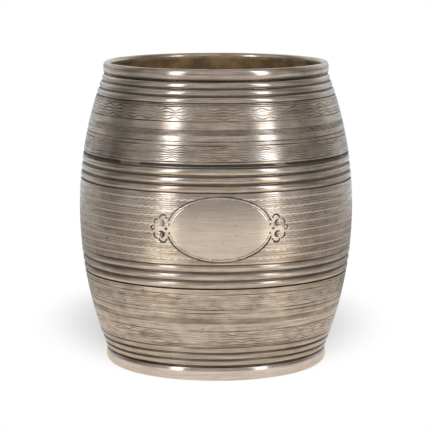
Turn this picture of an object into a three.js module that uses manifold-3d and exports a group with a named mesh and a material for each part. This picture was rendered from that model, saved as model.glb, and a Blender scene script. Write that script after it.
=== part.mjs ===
// A barrel-shaped silver beaker: a bowed wall on a moulded foot ring, closed by a base
// plate, finished at the mouth by a rounded lip wire, and girdled like a cask by four
// groups of half-round hoop wires. An engraved oval marks the front of the wall.
// Millimetres, +Z up. The origin is on the table under the middle of the foot ring,
// and the engraved oval faces -Y.

import * as THREE from 'three';
import { mergeVertices } from 'three/addons/utils/BufferGeometryUtils.js';
import Module from 'manifold-3d';

// Driving dimensions: the wall
const BEAKER_HEIGHT = 77.5; // table to the top of the lip
const BELLY_RADIUS = 35; // outside of the wall at its widest
const BELLY_HEIGHT = 40.3; // height of that widest place above the table
const NECK_TAPER = 6.5; // how much the wall draws in between the belly and the lip
const FOOT_TAPER = 6.98; // how much it draws in between the belly and the foot
const WALL_THICKNESS = 0.8;

// Driving dimensions: foot, base and lip
const FOOT_HEIGHT = 3.7;
const FOOT_PROJECTION = 0.35; // the foot's widest place beyond the wall it carries
const FOOT_LEDGE = 0.05; // the flat left round the wall on top of the foot
const FOOT_WIDEST_HEIGHT = 1.9; // height of the foot's widest place
const FOOT_ROUND = 2.65; // how far the foot's round under-edge draws in to the table
const FOOT_SHELF = 2.6; // the shelf inside the wall on which the base plate lies
const BASE_THICKNESS = 0.8;
const LIP_HEIGHT = 2.7;
const LIP_PROJECTION = 0.25; // the lip's widest place beyond the wall at its lower edge
const LIP_REBATE = 1; // how far the lip laps down over the wall's upper edge

// Driving dimensions: hoops
const HOOPS_PER_GROUP = 3;
const END_HOOP_WIDTH = 1.85; // the wires at the neck and above the foot
const MIDDLE_HOOP_WIDTH = 2.05; // the wires above and below the belly
const HOOP_RISE = 0.05; // how far a hoop's crest stands proud of the wall
const HOOP_SEAT_DEPTH = 0.28; // the shallow turned seat that a group lies in
const HOOP_LAND = 0.1; // the strip of wall between an end group's seat and the lip or foot
const UPPER_HOOPS_RISE = 7.7; // belly to the upper group, along the wall
const LOWER_HOOPS_DROP = 9.8; // belly to the lower group, along the wall

// Driving dimensions: the engraved oval
const OVAL_HALF_WIDTH = 13; // seen from the front
const OVAL_MARGIN = 0.45; // between the oval and the hoops above and below it
const OVAL_LINE_WIDTH = 0.9;
const OVAL_LINE_DEPTH = 0.2;

// Fits and facets
const SOLDER_GAP = 0.05; // the film between two soldered pieces
const OVERCUT = 1; // how far a cutter stands clear of the surface that it cuts
const ROUND_SEGMENTS = 48; // facets round the beaker, the same on every piece
const WALL_STEP = 4; // length of a straight step along the bowed wall
const OVAL_SEGMENTS = 22; // steps on each half of the oval
const HOOP_SEGMENTS = 4; // steps across a half-round hoop
const MOULDING_SEGMENTS = 4; // steps on a quarter of a moulding

// Levels and curves that follow from the driving dimensions
const LIP_BOTTOM = BEAKER_HEIGHT - LIP_HEIGHT;
const WALL_TOP = LIP_BOTTOM + LIP_REBATE;
const WALL_BOTTOM = FOOT_HEIGHT + SOLDER_GAP;
const UPPER_ARC_RADIUS = arcRadiusFor(LIP_BOTTOM - BELLY_HEIGHT, NECK_TAPER);
const LOWER_ARC_RADIUS = arcRadiusFor(BELLY_HEIGHT - FOOT_HEIGHT, FOOT_TAPER);

// Finishes, from the tarnished outside, the rubbed mouldings and the gilded inside
const WALL_FINISH = { color: 0xa89a8c, roughness: 0.34, metalness: 1 };
const MOULDING_FINISH = { color: 0xb9ab9d, roughness: 0.26, metalness: 1 };
const GILT_FINISH = { color: 0x9c8350, roughness: 0.38, metalness: 1 };

// The radius of an arc that starts upright and draws in by taper over its rise.
function arcRadiusFor(rise, taper) {
  return (rise ** 2 + taper ** 2) / (2 * taper);
}

// A place by its distance along the outside of the wall, counted up from the belly,
// and by its lift off that outside, square to it.
function wallPoint(along, lift) {
  const arcRadius = along >= 0 ? UPPER_ARC_RADIUS : LOWER_ARC_RADIUS;
  const angle = along / arcRadius;
  const reach = arcRadius + lift;
  return new THREE.Vector2(
    BELLY_RADIUS - arcRadius + reach * Math.cos(angle),
    BELLY_HEIGHT + reach * Math.sin(angle),
  );
}

// The distance along the wall where a surface at this lift reaches a height.
function alongAtHeight(height, lift) {
  const rise = height - BELLY_HEIGHT;
  const arcRadius = rise >= 0 ? UPPER_ARC_RADIUS : LOWER_ARC_RADIUS;
  return arcRadius * Math.asin(rise / (arcRadius + lift));
}

// The radius of a surface at this lift at a height.
function wallRadiusAt(height, lift) {
  return wallPoint(alongAtHeight(height, lift), lift).x;
}

// Points on a surface at this lift, from one distance along the wall to another.
function wallRun(from, to, lift) {
  const steps = Math.max(1, Math.ceil(Math.abs(to - from) / WALL_STEP));
  return Array.from({ length: steps + 1 }, (_, step) =>
    wallPoint(from + ((to - from) * step) / steps, lift));
}

// A quarter of an ellipse about a centre, from one angle to another.
function quarterRound(centre, reach, rise, fromAngle, toAngle) {
  return Array.from({ length: MOULDING_SEGMENTS + 1 }, (_, step) => {
    const angle = fromAngle + ((toAngle - fromAngle) * step) / MOULDING_SEGMENTS;
    return new THREE.Vector2(centre.x + reach * Math.cos(angle), centre.y + rise * Math.sin(angle));
  });
}

// Turns an outline about the beaker's axis. The outline runs up its outer side.
function turned(outline) {
  const geometry = new THREE.LatheGeometry(outline, ROUND_SEGMENTS);
  geometry.rotateX(Math.PI / 2);
  return geometry;
}

// The same, for an outline that comes back to its first point.
function turnedRing(outline) {
  return turned([...outline, outline[0]]);
}

function piece(name, geometry, finish) {
  const mesh = new THREE.Mesh(geometry, new THREE.MeshStandardMaterial(finish));
  mesh.name = name;
  return mesh;
}

// Hoop groups, from the lowest to the highest. low and high are the edges of a group
// along the wall, and its seat is wider than the wires by a solder gap at each edge.
function groupLength(hoopWidth) {
  return HOOPS_PER_GROUP * hoopWidth + (HOOPS_PER_GROUP - 1) * SOLDER_GAP;
}

function hoopGroup(name, hoopWidth, low) {
  return { name, hoopWidth, low, high: low + groupLength(hoopWidth) };
}

function hoopGroups() {
  const endLength = groupLength(END_HOOP_WIDTH);
  const middleLength = groupLength(MIDDLE_HOOP_WIDTH);
  const endMargin = HOOP_LAND + SOLDER_GAP;
  const footEdge = alongAtHeight(WALL_BOTTOM, 0) + endMargin;
  const lipEdge = alongAtHeight(LIP_BOTTOM, 0) - endMargin;
  return [
    hoopGroup('base', END_HOOP_WIDTH, footEdge),
    hoopGroup('lower', MIDDLE_HOOP_WIDTH, -LOWER_HOOPS_DROP - middleLength),
    hoopGroup('upper', MIDDLE_HOOP_WIDTH, UPPER_HOOPS_RISE),
    hoopGroup('neck', END_HOOP_WIDTH, lipEdge - endLength),
  ];
}

// One half-round wire, flat side in its seat, at a distance along the wall.
function hoopWire(name, hoopWidth, centre) {
  const seat = SOLDER_GAP - HOOP_SEAT_DEPTH;
  const outline = Array.from({ length: HOOP_SEGMENTS + 1 }, (_, step) => {
    const angle = (Math.PI * step) / HOOP_SEGMENTS;
    const across = (-Math.cos(angle) * hoopWidth) / 2;
    return wallPoint(centre + across, seat + (HOOP_RISE - seat) * Math.sin(angle));
  });
  return piece(name, turnedRing(outline), MOULDING_FINISH);
}

// The wires of one group, numbered from the lowest.
function hoopWires(group) {
  const pitch = group.hoopWidth + SOLDER_GAP;
  return Array.from({ length: HOOPS_PER_GROUP }, (_, index) =>
    hoopWire(
      `${group.name}_hoop_${index + 1}`,
      group.hoopWidth,
      group.low + group.hoopWidth / 2 + index * pitch,
    ));
}

// The foot: a flat resting face, a round under-edge and a rounded shoulder.
function footRing() {
  const wallFoot = wallRadiusAt(FOOT_HEIGHT, 0);
  const widest = wallFoot + FOOT_PROJECTION;
  const shoulder = wallFoot + FOOT_LEDGE;
  const bore = wallRadiusAt(FOOT_HEIGHT, -WALL_THICKNESS) - FOOT_SHELF;
  const underCentre = new THREE.Vector2(widest - FOOT_ROUND, FOOT_WIDEST_HEIGHT);
  const shoulderCentre = new THREE.Vector2(shoulder, FOOT_WIDEST_HEIGHT);
  const shoulderRise = FOOT_HEIGHT - FOOT_WIDEST_HEIGHT;
  const outline = [
    new THREE.Vector2(bore, 0),
    ...quarterRound(underCentre, FOOT_ROUND, FOOT_WIDEST_HEIGHT, -Math.PI / 2, 0),
    ...quarterRound(shoulderCentre, widest - shoulder, shoulderRise, 0, Math.PI / 2).slice(1),
    new THREE.Vector2(bore, FOOT_HEIGHT),
  ];
  return piece('foot_ring', turnedRing(outline), MOULDING_FINISH);
}

// The base: a disc inside the wall, its edge sloped like the wall, on the foot's shelf.
function basePlate() {
  const underside = WALL_BOTTOM;
  const top = underside + BASE_THICKNESS;
  const lift = -WALL_THICKNESS - SOLDER_GAP;
  const outline = [
    new THREE.Vector2(0, underside),
    new THREE.Vector2(wallRadiusAt(underside, lift), underside),
    new THREE.Vector2(wallRadiusAt(top, lift), top),
    new THREE.Vector2(0, top),
  ];
  return piece('base_plate', turned(outline), GILT_FINISH);
}

// The lip: a rounded wire that sits on the wall's edge and laps down its outside.
function lipWire() {
  const seatHeight = WALL_TOP + SOLDER_GAP;
  const mouth = wallRadiusAt(WALL_TOP, -WALL_THICKNESS);
  const lowerEdge = wallRadiusAt(LIP_BOTTOM, SOLDER_GAP);
  const widest = wallRadiusAt(LIP_BOTTOM, 0) + LIP_PROJECTION;
  const widestHeight = LIP_BOTTOM + LIP_HEIGHT / 2;
  const halfHeight = LIP_HEIGHT / 2;
  const crown = new THREE.Vector2((mouth + widest) / 2, widestHeight);
  const underCentre = new THREE.Vector2(lowerEdge, widestHeight);
  const halfWidth = (widest - mouth) / 2;
  const outline = [
    ...quarterRound(underCentre, widest - lowerEdge, halfHeight, -Math.PI / 2, 0),
    ...quarterRound(crown, halfWidth, halfHeight, 0, Math.PI / 2).slice(1),
    ...quarterRound(crown, halfWidth, halfHeight, Math.PI / 2, Math.PI).slice(1),
    new THREE.Vector2(mouth, seatHeight),
    new THREE.Vector2(wallRadiusAt(seatHeight, SOLDER_GAP), seatHeight),
  ];
  return piece('lip_wire', turnedRing(outline), MOULDING_FINISH);
}

// The wall before it is engraved: outside with the four turned seats, then inside.
function wallBlank(groups) {
  const outside = [];
  let along = alongAtHeight(WALL_BOTTOM, 0);
  for (const group of groups) {
    const seatLow = group.low - SOLDER_GAP;
    const seatHigh = group.high + SOLDER_GAP;
    outside.push(...wallRun(along, seatLow, 0));
    outside.push(...wallRun(seatLow, seatHigh, -HOOP_SEAT_DEPTH));
    along = seatHigh;
  }
  outside.push(...wallRun(along, alongAtHeight(WALL_TOP, 0), 0));
  const insideTop = alongAtHeight(WALL_TOP, -WALL_THICKNESS);
  const insideBottom = alongAtHeight(WALL_BOTTOM, -WALL_THICKNESS);
  return turnedRing([...outside, ...wallRun(insideTop, insideBottom, -WALL_THICKNESS)]);
}

// The line of the oval: an upright oval ring pushed through the front of the wall,
// kept only where it is within the engraved depth of the wall's outside.
function ovalOutline(inset, halfHeight) {
  const outline = new THREE.Shape();
  outline.absellipse(0, 0, OVAL_HALF_WIDTH - inset, halfHeight - inset, 0, 2 * Math.PI);
  return outline;
}

function ovalRing(fieldLow, fieldHigh) {
  const low = wallPoint(fieldLow, 0).y;
  const high = wallPoint(fieldHigh, 0).y;
  const halfHeight = (high - low) / 2 - OVAL_MARGIN;
  const outline = ovalOutline(0, halfHeight);
  outline.holes.push(ovalOutline(OVAL_LINE_WIDTH, halfHeight));
  const ring = new THREE.ExtrudeGeometry(outline, {
    depth: BELLY_RADIUS + OVERCUT,
    bevelEnabled: false,
    curveSegments: OVAL_SEGMENTS,
  });
  ring.rotateX(Math.PI / 2);
  ring.translate(0, 0, (high + low) / 2);
  return ring;
}

function engravedSkin(fieldLow, fieldHigh) {
  return turnedRing([
    ...wallRun(fieldLow, fieldHigh, OVERCUT),
    ...wallRun(fieldHigh, fieldLow, -OVAL_LINE_DEPTH),
  ]);
}

// Solids for joining and cutting, and back again to geometry
const wasm = await Module();
wasm.setup();

function solidFrom(geometry) {
  const bare = geometry.clone();
  bare.deleteAttribute('normal');
  bare.deleteAttribute('uv');
  const merged = mergeVertices(bare);
  return new wasm.Manifold(new wasm.Mesh({
    numProp: 3,
    vertProperties: new Float32Array(merged.getAttribute('position').array),
    triVerts: new Uint32Array(merged.getIndex().array),
  }));
}

function geometryFrom(solid) {
  const mesh = solid.getMesh();
  const geometry = new THREE.BufferGeometry();
  geometry.setAttribute('position', new THREE.BufferAttribute(mesh.vertProperties, mesh.numProp));
  geometry.setIndex(new THREE.BufferAttribute(mesh.triVerts, 1));
  geometry.computeVertexNormals();
  return geometry;
}

function barrelWall(groups) {
  const [, lower, upper] = groups;
  const fieldLow = lower.high + SOLDER_GAP;
  const fieldHigh = upper.low - SOLDER_GAP;
  const ring = solidFrom(ovalRing(fieldLow, fieldHigh));
  const line = ring.intersect(solidFrom(engravedSkin(fieldLow, fieldHigh)));
  const wall = solidFrom(wallBlank(groups)).subtract(line);
  return piece('barrel_wall', geometryFrom(wall), WALL_FINISH);
}

// Assembly, from the table up
const groups = hoopGroups();
const beaker = new THREE.Group();
beaker.add(footRing(), basePlate(), barrelWall(groups));
for (const group of groups) {
  beaker.add(...hoopWires(group));
}
beaker.add(lipWire());

export default beaker;
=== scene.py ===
"""Looks of a barrel-shaped silver beaker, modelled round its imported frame.

Sizes are real ones in millimetres, and turn into metres where a mesh, a material, a lamp or the
camera is made. Angles round the beaker are counted from its front, which faces -Y, towards +X.
"""
import logging
import math
from dataclasses import dataclass, replace
from enum import Enum
from typing import Optional, Sequence, Union

import bmesh
import bpy
import numpy as np
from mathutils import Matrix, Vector


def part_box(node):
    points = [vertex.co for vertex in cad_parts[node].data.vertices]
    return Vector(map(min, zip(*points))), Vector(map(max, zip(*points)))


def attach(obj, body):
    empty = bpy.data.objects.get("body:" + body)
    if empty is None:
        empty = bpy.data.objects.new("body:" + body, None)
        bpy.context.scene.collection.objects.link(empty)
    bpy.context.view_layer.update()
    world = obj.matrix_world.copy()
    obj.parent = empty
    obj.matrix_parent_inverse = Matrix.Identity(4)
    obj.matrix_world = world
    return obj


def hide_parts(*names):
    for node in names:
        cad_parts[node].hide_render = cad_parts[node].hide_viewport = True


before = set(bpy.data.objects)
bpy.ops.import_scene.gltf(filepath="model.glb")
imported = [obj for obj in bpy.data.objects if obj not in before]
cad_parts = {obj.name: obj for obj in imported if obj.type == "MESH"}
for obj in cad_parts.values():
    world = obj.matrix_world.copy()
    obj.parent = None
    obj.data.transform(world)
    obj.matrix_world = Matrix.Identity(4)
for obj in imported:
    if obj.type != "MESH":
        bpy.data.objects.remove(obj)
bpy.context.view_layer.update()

LOG = logging.getLogger("beaker")

MM = 0.001
FULL_TURN = 2 * math.pi
QUARTER_TURN = math.pi / 2
BODY = "root"
SOLDER_GAP = 0.05

# Short names of types
Material = bpy.types.Material
Mesh = bpy.types.Mesh
Socket = bpy.types.NodeSocket
Tree = bpy.types.NodeTree
Span = tuple[float, float]


class Slot(Enum):
    """The record's material slots."""

    SILVER = "silver"
    GILT = "gilt_silver"


class Cutter(Enum):
    """The gravers that cut the wall: half width, depth, darkness and flat floor of their lines.

    A darkness of 1 blackens the cut, more resists wear, and below 0 the cut is lighter, free of film
    and matt, which on the rippled lines is a painted highlight.
    """

    HAIR = (0.10, 0.020, 0.30, 0.0)
    FINE = (0.12, 0.025, 0.60, 0.0)
    LINE = (0.18, 0.050, 1.30, 0.3)
    REED = (0.12, 0.040, 1.25, 0.2)
    GROOVE = (0.42, 0.065, 2.60, 0.7)
    WAVE = (0.15, 0.021, 0.95, 0.3)
    CHAIN = (0.17, 0.032, 1.20, 0.3)
    # Its darkness below 0 lightens the rippled lines: a painted highlight
    RIPPLE = (0.20, 0.030, -0.97, 0.7)

    def __init__(self, half_width: float, depth: float, stain: float, flat: float) -> None:
        """Name the values.

        Args:
            half_width: Half the width of the cut.
            depth: Depth of the cut.
            stain: Darkness of the cut.
            flat: Share of the width that is a flat floor.
        """
        self.half_width = half_width
        self.depth = depth
        self.stain = stain
        self.floor_sides = (-flat, flat) if flat else (0.0,)


def ramp(value: Union[float, np.ndarray], start: float, end: float) -> Union[float, np.ndarray]:
    """Give the share that goes from 0 at one value to 1 at another."""
    return np.clip((value - start) / (end - start), 0, 1)


# The sRGB curve, with a straight start
STRAIGHT_END = 0.04045
STRAIGHT_SLOPE = 12.92
CURVE_OFFSET = 0.055
CURVE_POWER = 2.4


def hex_linear(code: str) -> tuple[float, ...]:
    """Turn an sRGB hex colour into a linear one.

    Args:
        code: Colour such as "#c8b9aa".

    Returns:
        Red, green, blue and an alpha of 1.
    """
    def linear(channel: float) -> float:
        """Undo the sRGB curve on one channel."""
        if channel <= STRAIGHT_END:
            return channel / STRAIGHT_SLOPE
        return ((channel + CURVE_OFFSET) / (1 + CURVE_OFFSET)) ** CURVE_POWER

    shares = [int(code[start:start + 2], 16) / 255 for start in (1, 3, 5)]
    return (*map(linear, shares), 1.0)


def add_node(
    tree: Tree, kind: str, inputs: Union[dict, Sequence] = (), out: Union[int, str] = 0,
    **settings: Union[bool, str],
) -> Optional[Socket]:
    """Add a node, set it up and link it.

    Args:
        tree: Node tree that gets the node.
        kind: Blender's name of the node's class, without "ShaderNode".
        inputs: Values and feeding sockets, in the order of the node's inputs or by their names.
        out: Number or name of the output that is wanted.
        **settings: Attributes of the node and their values.

    Returns:
        That output, or None if the node has none.
    """
    node = tree.nodes.new(f"ShaderNode{kind}")
    for key, value in settings.items():
        setattr(node, key, value)
    for key, value in inputs.items() if isinstance(inputs, dict) else enumerate(inputs):
        if isinstance(value, Socket):
            tree.links.new(value, node.inputs[key])
        else:
            node.inputs[key].default_value = value
    return node.outputs[out] if node.outputs else None


# Sockets of a Mix node that works on colours
MIX_SHARE = 0
MIX_FROM = 6
MIX_TO = 7
MIX_RESULT = 2
# What several nodes share
COLOUR_MIX = {"out": MIX_RESULT, "data_type": "RGBA"}
SMOOTH = {"interpolation_type": "SMOOTHSTEP"}


def blank_material(name: str) -> Material:
    """Make a material with an empty node tree.

    Args:
        name: Name of the material.

    Returns:
        The material.
    """
    material = bpy.data.materials.new(name)
    material.use_nodes = True
    material.node_tree.nodes.clear()
    return material


@dataclass(frozen=True)
class Pattern:
    """A noise on the metal: level streaks or, where run and width are alike, round spots."""

    width_mm: float
    run_mm: float
    layers: float = 3.0  # finer layers that are laid over it
    roughness: float = 0.65  # strength of those layers
    span: Span = (0.3, 0.7)  # noise that counts as nothing, and as all

    def add(self, tree: Tree, place: Socket) -> Socket:
        """Add the noise to a node tree.

        Args:
            tree: Node tree that gets the nodes.
            place: Object coordinates.

        Returns:
            The noise, about 0.5.
        """
        level = 1 / (self.run_mm * MM)
        scale = (level, level, 1 / (self.width_mm * MM))
        stretched = add_node(tree, "Mapping", {"Vector": place, "Scale": scale})
        return add_node(tree, "TexNoise", {
            "Vector": stretched, "Scale": 1.0, "Detail": self.layers, "Roughness": self.roughness,
        })


@dataclass(frozen=True)
class AgedSilver:
    """Sterling silver, tarnished and rubbed.

    A century of handling leaves a warm grey film that thins where fingers and cloths rub, black
    sulphide in every cut, hair scratches that run round the beaker and a soft wobble in what it
    reflects. The stain that a mesh carries also paints shade under the lip, on the foot's shoulder
    and at the wires' edges, and below 0 it rubs the film away: wear in the oval, and a painted
    highlight on the rippled lines.
    """

    name: str
    rubbed: str = "#e2d4c4"
    filmed: str = "#af9a86"
    sulphide: str = "#353436"
    gloss: float = 0.09  # roughness of the rubbed metal
    film_haze: float = 0.08  # what the film adds to it
    cut_haze: float = 0.30  # what the sulphide adds to it
    matt_haze: float = 0.5  # roughness of cuts that are rubbed bright
    film: Pattern = Pattern(width_mm=1.1, run_mm=14.0, layers=5.0, span=(0.25, 0.78))
    film_share: Span = (0.1, 0.9)  # least and most film
    scratches: Pattern = Pattern(width_mm=0.24, run_mm=9.0)
    scratching: float = 0.55  # film that they add or take
    scratch_depth_mm: float = 0.004
    mottle: Pattern = Pattern(width_mm=2.6, run_mm=2.6, roughness=0.5)
    mottling: float = 0.12  # film that it adds or takes
    patches: Pattern = Pattern(width_mm=4.0, run_mm=11.0, layers=2.0, span=(0.34, 0.63))
    patch_share: Span = (0.25, 1.1)  # least and most sulphide that wear has left
    pits: Pattern = Pattern(width_mm=0.5, run_mm=1.7, layers=0.0, span=(0.79, 0.86))
    pit_stain: float = 0.0  # sulphide in them
    dents: Pattern = Pattern(width_mm=13.0, run_mm=13.0, layers=1.0, roughness=0.5)
    dent_depth_mm: float = 0.025
    rubbed_and_highlit_stain: Span = (-0.6, 0.0)  # stain that is free of film, and that is not: wear in the oval, painted highlight on ripples
    matt_stain: Span = (-0.65, -0.95)  # stain that is glossy, and that is matt

    def material(self) -> Material:
        """Build the node tree.

        Returns:
            The finished material.
        """
        made = blank_material(self.name)
        tree = made.node_tree
        place = add_node(tree, "TexCoord", out="Object")
        stain = add_node(tree, "Attribute", out="Fac", attribute_name="stain")
        scratch = self.scratches.add(tree, place)
        # The film, in streaks and spots
        streaks = add_node(tree, "MapRange", (
            self.film.add(tree, place), *self.film.span, *self.film_share,
        ), **SMOOTH)
        wiped = add_node(
            tree, "MapRange", (scratch, *self.scratches.span, -self.scratching, self.scratching))
        streaked = add_node(tree, "Math", (streaks, wiped), operation="ADD")
        spots = add_node(tree, "MapRange", (
            self.mottle.add(tree, place), *self.mottle.span, -self.mottling, self.mottling,
        ))
        spotted = add_node(tree, "Math", (streaked, spots), operation="ADD")
        # Below 0 the stain takes the film off: rubbed wear in the oval, painted highlight on the
        # rippled lines
        kept = add_node(tree, "MapRange", (stain, *self.rubbed_and_highlit_stain))
        film = add_node(tree, "Math", (spotted, kept), operation="MULTIPLY", use_clamp=True)
        skin = add_node(tree, "Mix", {
            MIX_SHARE: film, MIX_FROM: hex_linear(self.rubbed), MIX_TO: hex_linear(self.filmed),
        }, **COLOUR_MIX)
        # The sulphide, worn off in patches, and pits, with the painted shade that the stain also
        # carries
        left = add_node(tree, "MapRange", (
            self.patches.add(tree, place), *self.patches.span, *self.patch_share,
        ))
        pitted = add_node(tree, "MapRange", (
            self.pits.add(tree, place), *self.pits.span, 0.0, self.pit_stain,
        ))
        black = add_node(
            tree, "Math", (stain, left, pitted), operation="MULTIPLY_ADD", use_clamp=True)
        colour = add_node(tree, "Mix", {
            MIX_SHARE: black, MIX_FROM: skin, MIX_TO: hex_linear(self.sulphide),
        }, **COLOUR_MIX)
        # The sheen
        filmed = add_node(
            tree, "Math", (film, self.film_haze, self.gloss), operation="MULTIPLY_ADD")
        stained = add_node(tree, "Math", (black, self.cut_haze, filmed), operation="MULTIPLY_ADD")
        haze = add_node(tree, "MapRange", (stain, *self.matt_stain, stained, self.matt_haze))
        # The relief
        dented = add_node(tree, "Bump", {
            "Strength": 1.0, "Distance": self.dent_depth_mm * MM,
            "Height": self.dents.add(tree, place),
        })
        scratched = add_node(tree, "Bump", {
            "Strength": kept, "Distance": self.scratch_depth_mm * MM, "Height": scratch,
            "Normal": dented,
        })
        shader = add_node(tree, "BsdfPrincipled", {
            "Base Color": colour, "Metallic": 1.0, "Roughness": haze, "Normal": scratched,
        })
        add_node(tree, "OutputMaterial", {"Surface": shader})
        return made


@dataclass(frozen=True)
class WornGilding:
    """Fire gilding on silver, thin and brown with age.

    The gold is a film that shows brown where it has greened and dulled, amber where it is still
    thick, and it is matt from washing, with faint rings left by the hammer and the lathe.
    """

    name: str
    amber: str = "#bb9b70"
    brown: str = "#8a7158"
    gloss: float = 0.46  # roughness of the brown
    amber_haze: float = 0.14  # what the amber adds to it
    metal: float = 0.6
    blotches: Pattern = Pattern(
        width_mm=7.0, run_mm=7.0, layers=6.0, roughness=0.66, span=(0.36, 0.64))
    rings: Pattern = Pattern(width_mm=0.5, run_mm=9.0)
    ring_depth_mm: float = 0.012

    def material(self) -> Material:
        """Build the node tree.

        Returns:
            The finished material.
        """
        made = blank_material(self.name)
        tree = made.node_tree
        place = add_node(tree, "TexCoord", out="Object")
        share = add_node(
            tree, "MapRange", (self.blotches.add(tree, place), *self.blotches.span), **SMOOTH)
        colour = add_node(tree, "Mix", {
            MIX_SHARE: share, MIX_FROM: hex_linear(self.brown), MIX_TO: hex_linear(self.amber),
        }, **COLOUR_MIX)
        haze = add_node(
            tree, "Math", (share, self.amber_haze, self.gloss), operation="MULTIPLY_ADD")
        ringed = add_node(tree, "Bump", {
            "Strength": 1.0, "Distance": self.ring_depth_mm * MM,
            "Height": self.rings.add(tree, place),
        })
        shader = add_node(tree, "BsdfPrincipled", {
            "Base Color": colour, "Metallic": self.metal, "Roughness": haze, "Normal": ringed,
        })
        add_node(tree, "OutputMaterial", {"Surface": shader})
        return made


@dataclass(frozen=True)
class Spot:
    """One point of a turned outline."""

    radius: float
    height: float
    stain: float = 0.0  # black sulphide, as in Cutter, and painted shade on the lip, the foot and the wires
    along: float = 0.0  # distance along the bow of the wall, for points of the wall
    lift: float = 0.0  # distance out from that bow
    swing: float = 0.0  # how far the point waves up and down round the beaker
    hidden: bool = False  # True where the stretch up to the next point never shows


@dataclass(frozen=True)
class Sector:
    """A stretch of a turn: a patch spun in a few steps and then copied side by side."""

    sweep: float
    copies: int
    steps: int


CARRIED = ("stain", "along", "lift", "swing", "run")  # values that a turned mesh's points carry
PATCH_STEPS = 24
FIELD_PATCHES = 27
HIDDEN_SHARE = 0.04
BAKE_MAP = "OFBake"
BAKE_SPAN = 0.98
MAP_MIDDLE = 0.5
MERGE_MM = 0.002
SHARP_EDGE = math.radians(50)


def full_turn(copies: int) -> tuple[Sector, ...]:
    """Give the sectors of an even full turn."""
    return (Sector(FULL_TURN, copies, PATCH_STEPS),)


def outline_runs(outline: Sequence[Spot]) -> list[float]:
    """Measure how far each point lies along an outline, with hidden stretches shortened.

    Args:
        outline: Points in order.

    Returns:
        A share from 0 to less than 1 for each point.
    """
    runs = [0.0]
    closing = [*outline[1:], outline[0]]
    for here, there in zip(outline, closing):
        length = math.hypot(there.radius - here.radius, there.height - here.height)
        runs.append(runs[-1] + length * (HIDDEN_SHARE if here.hidden else 1))
    return [run / runs[-1] for run in runs[:-1]]


def draw_outline(shape: bmesh.types.BMesh, outline: Sequence[Spot], turn: float, ring: bool) -> list:
    """Draw an outline into a bmesh at an angle round the beaker.

    Args:
        shape: Bmesh that gets the outline.
        outline: Points of the outline.
        turn: Angle from the front.
        ring: True if the outline closes on itself.

    Returns:
        The new vertices and edges.
    """
    layers = {key: shape.verts.layers.float[key] for key in CARRIED}
    verts = []
    for spot, run in zip(outline, outline_runs(outline)):
        reach = spot.radius * MM
        vert = shape.verts.new((reach * math.sin(turn), -reach * math.cos(turn), spot.height * MM))
        for key, layer in layers.items():
            vert[layer] = run if key == "run" else getattr(spot, key)
        verts.append(vert)
    pairs = list(zip(verts, verts[1:]))
    if ring:
        pairs.append((verts[-1], verts[0]))
    return [*verts, *(shape.edges.new(pair) for pair in pairs)]


def turned(
    name: str, outline: Sequence[Spot], sectors: Sequence[Sector], start: float = math.pi,
    ring: bool = True,
) -> Mesh:
    """Turn an outline about the beaker's axis.

    Args:
        name: Name of the mesh.
        outline: Points of the outline.
        sectors: Stretches that add up to a full turn.
        start: Angle from the front where the turn starts.
        ring: True if the outline closes on itself, False if both ends are on the axis.

    Returns:
        A closed mesh whose points carry the outline's values as attributes.
    """
    whole = bpy.data.meshes.new(name)
    shape = bmesh.new()
    for key in CARRIED:
        shape.verts.layers.float.new(key)
    about = {"cent": (0, 0, 0), "axis": (0, 0, 1)}
    turn = start
    for sector in sectors:
        known = set(shape.verts)
        patch = sector.sweep / sector.copies
        moving = draw_outline(shape, outline, turn, ring)
        bmesh.ops.spin(shape, geom=moving, angle=patch, steps=sector.steps, **about)
        verts = [vert for vert in shape.verts if vert not in known]
        faces = {face for vert in verts for face in vert.link_faces}
        edges = {edge for vert in verts for edge in vert.link_edges}
        bmesh.ops.spin(
            shape, geom=[*verts, *edges, *faces], angle=sector.sweep - patch,
            steps=sector.copies - 1, use_duplicate=True, **about,
        )
        turn += sector.sweep
    bmesh.ops.remove_doubles(shape, verts=shape.verts[:], dist=MERGE_MM * MM)
    bmesh.ops.recalc_face_normals(shape, faces=shape.faces[:])
    shape.to_mesh(whole)
    shape.free()
    return whole


def point_values(mesh: Mesh, key: str) -> np.ndarray:
    """Read a float attribute of a mesh's points.

    Args:
        mesh: Mesh made by turned().
        key: Name of the attribute.

    Returns:
        A value for each point.
    """
    values = np.empty(len(mesh.vertices), np.float32)
    mesh.attributes[key].data.foreach_get("value", values)
    return values


def set_point_values(mesh: Mesh, key: str, values: np.ndarray) -> None:
    """Write a float attribute of a mesh's points."""
    mesh.attributes[key].data.foreach_set("value", values.astype(np.float32))


def vectors(rows: bpy.types.bpy_prop_collection, key: str) -> np.ndarray:
    """Read vectors of a mesh's points or faces.

    Args:
        rows: The points or faces.
        key: Name of the vector.

    Returns:
        One row of three values for each.
    """
    values = np.empty(len(rows) * 3, np.float32)
    rows.foreach_get(key, values)
    return values.reshape(-1, 3)


def angles_of(mesh: Mesh) -> np.ndarray:
    """Give each point's angle round the beaker from its front."""
    points = vectors(mesh.vertices, "co")
    return np.arctan2(points[:, 0], -points[:, 1])


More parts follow.
